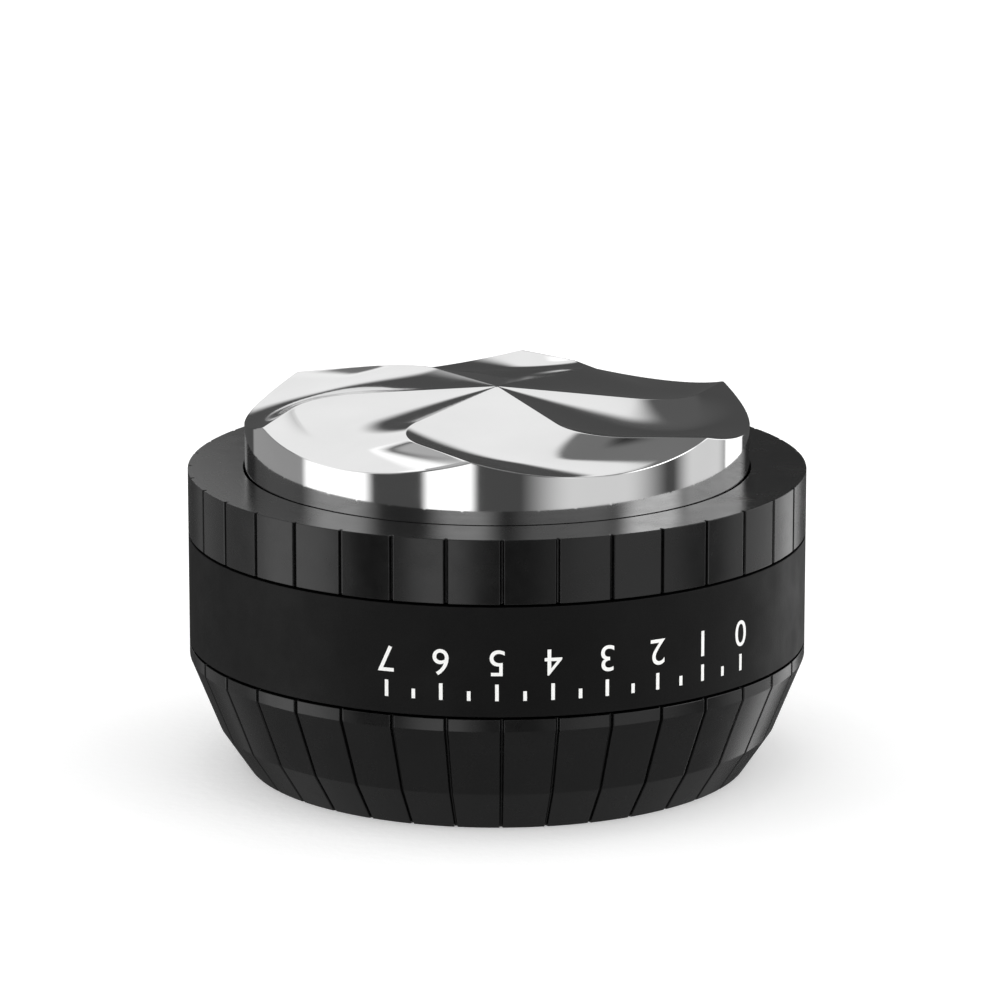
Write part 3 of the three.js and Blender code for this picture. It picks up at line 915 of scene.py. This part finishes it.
class DISTRIBUTOR_OT_stage(bpy.types.Operator):
    """Sets the floor, the studio light and the camera."""

    bl_idname = "distributor.stage"
    bl_label = "Stage"

    def execute(self, context):
        stage = context.scene.distributor_stage
        self.make_floor(stage)
        self.make_studio(context.scene)
        self.make_softbox()
        self.make_camera(context.scene, stage)
        context.scene.view_settings.view_transform = "Standard"
        return {"FINISHED"}

    FLOOR_REACH = 4.0  # from its middle to its sides, in metres

    def make_floor(self, stage):
        bm = bmesh.new()
        bmesh.ops.create_grid(bm, x_segments=8, y_segments=8, size=self.FLOOR_REACH)
        floor = self.prop(bm, "floor", floor_paint(stage.floor, stage.glow))
        floor.visible_glossy = False

    def prop(self, bm, name, material):
        """Makes a thing of the stage from a bmesh."""
        mesh = bpy.data.meshes.new(name)
        bm.to_mesh(mesh)
        bm.free()
        mesh.materials.append(material)
        thing = bpy.data.objects.new(name, mesh)
        bpy.context.scene.collection.objects.link(thing)
        return thing

    # Upright strips of light round the tool, a little below and a little above its own height: the azimuth of the
    # left and right edge, from the front towards +X, and the softness of the edges, all in degrees, and brightness.
    BELOW = (
        (-147, -98, 4, 0.36),
        (-98, -60, 8, 1.7),
        (-33, -10, 6, 1.65),
        (20, 74, 30, 0.85),
        (92, 127, 16, 0.85),
        (127, 149, 4, 1.7),
    )
    ABOVE = (
        (-145, -98, 10, 0.28),
        (-95, -60, 20, 1.35),
        (-28, -2, 16, 1.1),
        (10, 56, 20, 0.5),
        (60, 92, 16, 2.7),
        (92, 152, 16, 1.45),
    )
    DIM = 0.08  # between the strips
    # The soft lower and upper ends of both rows of strips, in degrees of elevation.
    BELOW_ENDS = ((-42, -24), (-4, 8))
    ABOVE_ENDS = ((-4, 8), (20, 32))
    # The light off the floor, and the room's own above it: where it comes in and goes out, in degrees of elevation,
    # and brightness. The first is added to the strips. Of all the others the brightest one counts.
    FLOOR_LIGHT = ((-100, -99), (-50, -26), 0.3)
    ROOM = (
        ((6, 30), (62, 72), 0.12),
        ((36, 50), (62, 72), 0.21),
        ((74, 84), (100, 101), 0.6),
    )
    # Softboxes higher up: azimuth from +Y towards +X, half the width, softness of the sides, lower and upper
    # elevation and their softness, all in degrees, and brightness.
    PANELS = (
        (-20, 4, 5, 28, 41, 8, 0.5),
        (-34, 9, 8, 33, 60, 12, 0.54),
        (-62, 15, 10, 22, 58, 14, 1.0),
        (62, 22, 14, 28, 60, 14, 0.9),
        (122, 24, 12, 26, 54, 12, 1.2),
        (-100, 26, 14, 24, 55, 14, 1.1),
        (-160, 20, 12, 26, 56, 12, 0.8),
    )
    ALWAYS = (-2, -1)  # an edge that everything is past
    LEAN = 0.3  # how far the softboxes' sides lean over, in degrees of azimuth for one of elevation
    LEAN_FROM = 30  # the elevation where a softbox stands at its azimuth
    INSIDE = 0.999999  # keeps a cosine where it has an angle
    # The disc of light overhead: diameter and height in metres, and watts.
    OVERHEAD_SIZE = 10.0
    OVERHEAD_HEIGHT = 2.0
    OVERHEAD_POWER = 152

    def make_studio(self, scene):
        """A dim room with upright strips of light at the tool's height, softboxes above them and a disc overhead."""
        world = clear_nodes(bpy.data.worlds.new("studio"))
        scene.world = world

        def arc(value, opens, closes, level):
            """A level between two soft edges in degrees."""
            edges = [[math.radians(angle) for angle in edge] for edge in (opens, closes)]
            return window(world, value, *edges, level)

        def together(levels, how):
            """Several levels made one."""
            level = levels[0]
            for other in levels[1:]:
                level = add_node(world, MATH, {0: level, 1: other}, operation=how).outputs[0]
            return level

        def strips(lights):
            """The brightness round the horizon: the room's own, and each strip's between its soft edges."""
            levels = [self.DIM]
            for left, right, soft, bright in lights:
                opens, closes = ((edge - soft / 2, edge + soft / 2) for edge in (left, right))
                levels.append(arc(front, opens, closes, bright))
            return together(levels, "MAXIMUM")

        def away_from(azimuth):
            """The angle from a leaning upright line."""
            inputs = {0: leaning, 1: math.radians(azimuth)}
            turned = add_node(world, MATH, inputs, operation="SUBTRACT").outputs[0]
            cosine = add_node(world, MATH, {0: turned}, operation="COSINE").outputs[0]
            inside = add_node(world, MATH, {0: cosine, 1: self.INSIDE}, operation="MULTIPLY").outputs[0]
            return add_node(world, MATH, {0: inside}, operation="ARCCOSINE").outputs[0]

        way = add_node(world, "ShaderNodeTexCoord").outputs["Generated"]
        axes = add_node(world, "ShaderNodeSeparateXYZ", {"Vector": way}).outputs
        rise = add_node(world, MATH, {0: axes["Z"]}, operation="ARCSINE").outputs[0]
        behind = add_node(world, MATH, {0: axes["X"], 1: axes["Y"]}, operation="ARCTAN2").outputs[0]
        ahead = add_node(world, MATH, {0: axes["Y"], 1: -1.0}, operation="MULTIPLY").outputs[0]
        front = add_node(world, MATH, {0: axes["X"], 1: ahead}, operation="ARCTAN2").outputs[0]
        inputs = {0: rise, 1: -self.LEAN, 2: math.radians(self.LEAN_FROM) * self.LEAN}
        lean = add_node(world, MATH, inputs, operation="MULTIPLY_ADD").outputs[0]
        leaning = add_node(world, MATH, {0: behind, 1: lean}, operation="ADD").outputs[0]

        added = [
            arc(rise, *self.BELOW_ENDS, strips(self.BELOW)),
            arc(rise, *self.ABOVE_ENDS, strips(self.ABOVE)),
            arc(rise, *self.FLOOR_LIGHT),
        ]
        levels = [together(added, "ADD"), *(arc(rise, *light) for light in self.ROOM)]
        for azimuth, half, soft, bottom, top, edge, bright in self.PANELS:
            opens = (bottom - edge / 2, bottom + edge / 2)
            closes = (top - edge / 2, top + edge / 2)
            tall = arc(rise, opens, closes, bright)
            levels.append(arc(away_from(azimuth), self.ALWAYS, (half - soft / 2, half + soft / 2), tall))
        inputs = {"Color": (1, 1, 1, 1), "Strength": together(levels, "MAXIMUM")}
        studio = add_node(world, "ShaderNodeBackground", inputs)
        plain = add_node(world, "ShaderNodeBackground", {"Color": (1, 1, 1, 1), "Strength": 1.0})
        seen = add_node(world, "ShaderNodeLightPath").outputs["Is Camera Ray"]
        mix = add_node(world, "ShaderNodeMixShader", {0: seen, 1: studio.outputs[0], 2: plain.outputs[0]})
        add_node(world, "ShaderNodeOutputWorld", {"Surface": mix.outputs[0]})

        data = bpy.data.lights.new("overhead", "AREA")
        data.shape = "DISK"
        data.size = self.OVERHEAD_SIZE
        data.energy = self.OVERHEAD_POWER
        overhead = bpy.data.objects.new("overhead", data)
        overhead.location = (0, 0, self.OVERHEAD_HEIGHT)
        overhead.visible_glossy = False
        overhead.visible_camera = False
        scene.collection.objects.link(overhead)

    # The softbox behind the tool, in metres: its distance, the height of its middle, half its sheet's side, its
    # left, right, sloping lower and upper soft edges, the slope, and its brightness.
    SOFTBOX_AWAY = 0.2
    SOFTBOX_HEIGHT = 0.2
    SOFTBOX_REACH = 0.17
    SOFTBOX_SIDES = ((-0.106, -0.083), (0.030, 0.058))
    SOFTBOX_LOW = (0.111, 0.141)
    SOFTBOX_HIGH = (0.25, 0.29)
    SOFTBOX_SLOPE = 0.8
    SOFTBOX_LEVEL = 0.96
    NEVER = (1, 2)  # an edge that nothing is past

    def make_softbox(self):
        """A sheet of soft light that the blades mirror."""
        bm = bmesh.new()
        bmesh.ops.create_grid(bm, x_segments=1, y_segments=1, size=self.SOFTBOX_REACH)
        upright = Matrix.Rotation(math.pi / 2, 4, "X")
        place = Matrix.Translation((0, self.SOFTBOX_AWAY, self.SOFTBOX_HEIGHT))
        bmesh.ops.transform(bm, matrix=place @ upright, verts=bm.verts)
        softbox = self.prop(bm, "softbox", self.softbox_cloth())
        softbox.visible_camera = False
        softbox.visible_shadow = False

    def softbox_cloth(self):
        """White diffuser cloth, lit from behind: an even glow that fades at the edges, past which it is clear."""
        cloth = clear_nodes(bpy.data.materials.new("softbox_cloth_lit"))
        where = add_node(cloth, "ShaderNodeTexCoord").outputs["Object"]
        axes = add_node(cloth, "ShaderNodeSeparateXYZ", {"Vector": where}).outputs
        inputs = {0: axes["X"], 1: -self.SOFTBOX_SLOPE, 2: axes["Z"]}
        sloping = add_node(cloth, MATH, inputs, operation="MULTIPLY_ADD").outputs["Value"]
        level = window(cloth, sloping, self.SOFTBOX_LOW, self.NEVER, self.SOFTBOX_LEVEL)
        level = window(cloth, axes["Z"], self.ALWAYS, self.SOFTBOX_HIGH, level)
        level = window(cloth, axes["X"], *self.SOFTBOX_SIDES, level)
        glow = add_node(cloth, "ShaderNodeEmission", {"Color": (1, 1, 1, 1), "Strength": level})
        clear = add_node(cloth, "ShaderNodeBsdfTransparent")
        both = add_node(cloth, "ShaderNodeAddShader", {0: glow.outputs[0], 1: clear.outputs[0]})
        add_node(cloth, "ShaderNodeOutputMaterial", {"Surface": both.outputs[0]})
        return cloth

    SENSOR = 36  # millimetres
    CLIP = (0.05, 20)  # metres

    def make_camera(self, scene, stage):
        data = bpy.data.cameras.new("camera")
        data.lens = stage.lens
        data.sensor_width = self.SENSOR
        data.clip_start, data.clip_end = self.CLIP
        camera = bpy.data.objects.new("camera", data)
        camera.location = (stage.aside, -stage.distance, stage.height)
        camera.rotation_euler = (math.pi / 2 - stage.pitch, 0, 0)
        scene.collection.objects.link(camera)
        scene.camera = camera


class DISTRIBUTOR_PT_build(bpy.types.Panel):
    """Lists the pieces of the distributor."""

    bl_label = "Coffee Distributor"
    bl_idname = "DISTRIBUTOR_PT_build"
    bl_space_type = "VIEW_3D"
    bl_region_type = "UI"
    bl_category = "Distributor"

    def draw(self, context):
        for group in SETTINGS:
            settings = getattr(context.scene, group)
            column = self.layout.column(align=True)
            for name in settings.bl_rna.properties.keys():
                if name not in ("rna_type", "name"):
                    column.prop(settings, name)
        for operator in OPERATORS:
            self.layout.operator(operator.bl_idname)


SETTINGS = {
    "distributor_blades": BladeSettings,
    "distributor_body": BodySettings,
    "distributor_scale": ScaleSettings,
    "distributor_finish": FinishSettings,
    "distributor_stage": StageSettings,
}
OPERATORS = (
    DISTRIBUTOR_OT_bladed_base,
    DISTRIBUTOR_OT_depth_collar,
    DISTRIBUTOR_OT_grip_band,
    DISTRIBUTOR_OT_palm_cap,
    DISTRIBUTOR_OT_depth_scale,
    DISTRIBUTOR_OT_hardware,
    DISTRIBUTOR_OT_rings,
    DISTRIBUTOR_OT_stage,
)


def register():
    for settings in SETTINGS.values():
        bpy.utils.register_class(settings)
    for cls in (*OPERATORS, DISTRIBUTOR_PT_build):
        bpy.utils.register_class(cls)
    for name, settings in SETTINGS.items():
        setattr(bpy.types.Scene, name, PointerProperty(type=settings))


def unregister():
    for name in SETTINGS:
        delattr(bpy.types.Scene, name)
    for cls in (DISTRIBUTOR_PT_build, *reversed(OPERATORS)):
        bpy.utils.unregister_class(cls)
    for settings in SETTINGS.values():
        bpy.utils.unregister_class(settings)


def main():
    """Builds every piece and the stage."""
    register()
    bpy.ops.distributor.bladed_base()
    bpy.ops.distributor.depth_collar()
    bpy.ops.distributor.grip_band()
    bpy.ops.distributor.palm_cap()
    bpy.ops.distributor.depth_scale()
    bpy.ops.distributor.hardware()
    bpy.ops.distributor.rings()
    bpy.ops.distributor.stage()


if __name__ == "__main__":
    main()
